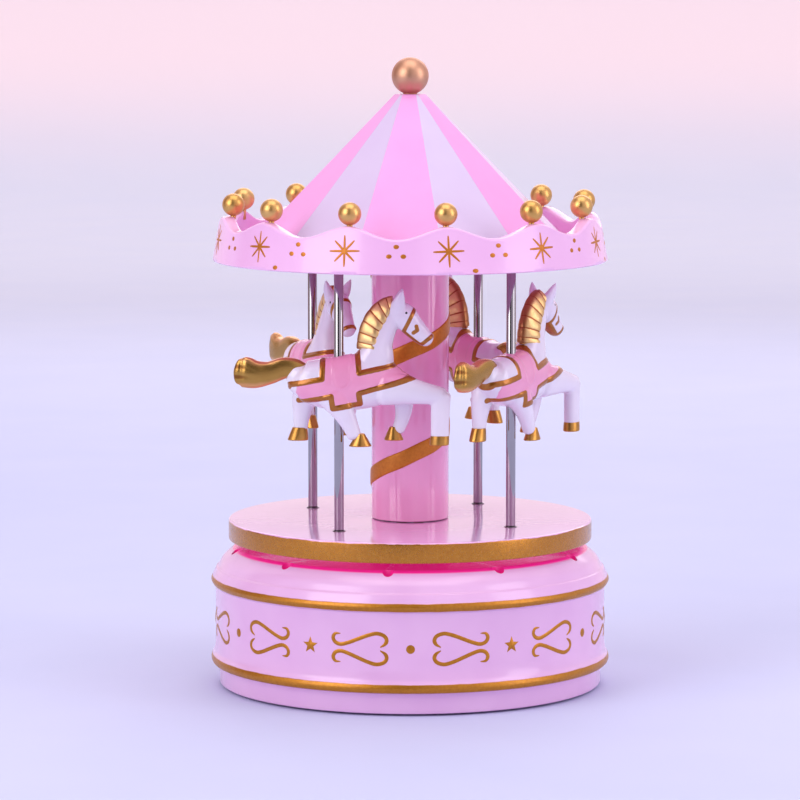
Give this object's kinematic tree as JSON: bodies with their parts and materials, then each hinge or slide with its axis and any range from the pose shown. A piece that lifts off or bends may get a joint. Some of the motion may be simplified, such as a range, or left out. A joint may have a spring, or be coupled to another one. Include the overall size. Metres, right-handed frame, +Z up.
{
  "type": "carousel music box",
  "caption": "Wind-up carousel music box: horses on chrome poles under a pointed canopy turn on a round base that holds a pin-and-comb movement.",
  "frame": {"origin": "on the axis of the carousel, at the level of the underside of the rubber feet", "axes": "+Z up along the axis of the carousel, -Y towards the front, +X to the right seen from the front"},
  "size_m": [0.1148, 0.1148, 0.18],
  "materials": {
    "orchid_plastic": "semi-gloss moulded, light orchid pink, with hand-painted bronze-gold lines",
    "pink_cover_plastic": "fine matt moulded",
    "foot_rubber": "matt",
    "zinc_screws": "zinc plated",
    "movement_steel": "plated pressed steel",
    "comb_steel": "ground spring steel",
    "brass_parts": "turned",
    "nylon": "natural nylon",
    "turntable_plastic": "high gloss pink top, gold painted edge",
    "chrome_parts": "polished",
    "column_plastic": "glossy pink, with a painted gold ribbon",
    "canopy_plastic": "satin, alternate pink and white panels",
    "gold_parts": "satin gold plated beads",
    "rose_gold_parts": "satin rose gold plated bead",
    "nickel_parts": "nickel plated",
    "horse_plastic": "glazed white with pink saddle, gold mane, tail, hooves and painted gold trim"
  },
  "bodies": {
    "base": {"base_housing": "orchid_plastic", "shaft_bush": "brass_parts", "thrust_washer": "nylon", "bottom_cover": "pink_cover_plastic", "rubber_feet": "foot_rubber", "cover_screws": "zinc_screws", "bedplate": "movement_steel", "movement_screws": "zinc_screws", "comb_base": "movement_steel", "comb": "comb_steel", "comb_screws": "zinc_screws", "inner_bracket": "movement_steel", "outer_bracket": "movement_steel", "governor_frame": "movement_steel", "click": "movement_steel"},
    "carousel": {"barrel": "brass_parts", "barrel_cover": "brass_parts", "mainspring": "comb_steel", "drive_shaft": "comb_steel", "turntable": "turntable_plastic", "shaft_nut": "brass_parts", "pole_ferrules": "chrome_parts", "column": "column_plastic", "column_screws": "zinc_screws", "ceiling": "column_plastic", "canopy_skirt": "orchid_plastic", "canopy_cone": "canopy_plastic", "canopy_screws": "zinc_screws", "rim_balls": "gold_parts", "finial": "rose_gold_parts"},
    "winding_key": {"winding_key": "nickel_parts", "winding_arbor": "comb_steel", "ratchet_wheel": "comb_steel"},
    "music_cylinder": {"music_cylinder": "brass_parts", "cylinder_arbor": "comb_steel", "cylinder_pinion": "brass_parts", "cylinder_wheel": "brass_parts"},
    "second_arbor": {"second_arbor": "comb_steel", "second_pinion": "brass_parts", "worm_wheel": "nylon"},
    "governor": {"governor_worm": "comb_steel", "governor_fly": "nylon"},
    "rider_1": {"pole_1": "chrome_parts", "horse_1": "horse_plastic"},
    "rider_2": {"pole_2": "chrome_parts", "horse_2": "horse_plastic"},
    "rider_3": {"pole_3": "chrome_parts", "horse_3": "horse_plastic"},
    "rider_4": {"pole_4": "chrome_parts", "horse_4": "horse_plastic"}
  },
  "joints": [
    {"name": "carousel_spin", "type": "hinge", "parent": "base", "child": "carousel", "pos_m": [0, 0, 0.04], "axis": [0, 0, 1], "continuous": true},
    {"name": "winding_key_turn", "type": "hinge", "parent": "base", "child": "winding_key", "pos_m": [0, 0, 0.01], "axis": [0, 0, 1], "range_deg": [-1800, 0]},
    {"name": "cylinder_spin", "type": "hinge", "parent": "base", "child": "music_cylinder", "pos_m": [0.015, 0, 0.0274], "axis": [1, 0, 0], "continuous": true},
    {"name": "second_arbor_spin", "type": "hinge", "parent": "base", "child": "second_arbor", "pos_m": [0.035, 0.008, 0.0214], "axis": [1, 0, 0], "continuous": true},
    {"name": "governor_spin", "type": "hinge", "parent": "base", "child": "governor", "pos_m": [0.0354, 0.0143, 0.02], "axis": [0, 0, 1], "continuous": true},
    {"name": "horse_1_swivel", "type": "hinge", "parent": "carousel", "child": "rider_1", "pos_m": [-0.02003, -0.0284, 0.09], "axis": [0, 0, 1], "range_deg": [-35.2, 24.8]},
    {"name": "horse_2_swivel", "type": "hinge", "parent": "carousel", "child": "rider_2", "pos_m": [0.0284, -0.02003, 0.09], "axis": [0, 0, 1], "range_deg": [-2.2, 57.8]},
    {"name": "horse_3_swivel", "type": "hinge", "parent": "carousel", "child": "rider_3", "pos_m": [0.02003, 0.0284, 0.09], "axis": [0, 0, 1], "range_deg": [-0.2, 74.8]},
    {"name": "horse_4_swivel", "type": "hinge", "parent": "carousel", "child": "rider_4", "pos_m": [-0.0284, 0.02003, 0.09], "axis": [0, 0, 1], "range_deg": [-61.2, 0.3]}
  ],
  "couplings": [
    {"joint": "cylinder_spin", "follows": "carousel_spin", "ratio": 2},
    {"joint": "second_arbor_spin", "follows": "carousel_spin", "ratio": -8},
    {"joint": "governor_spin", "follows": "carousel_spin", "ratio": 192}
  ]
}
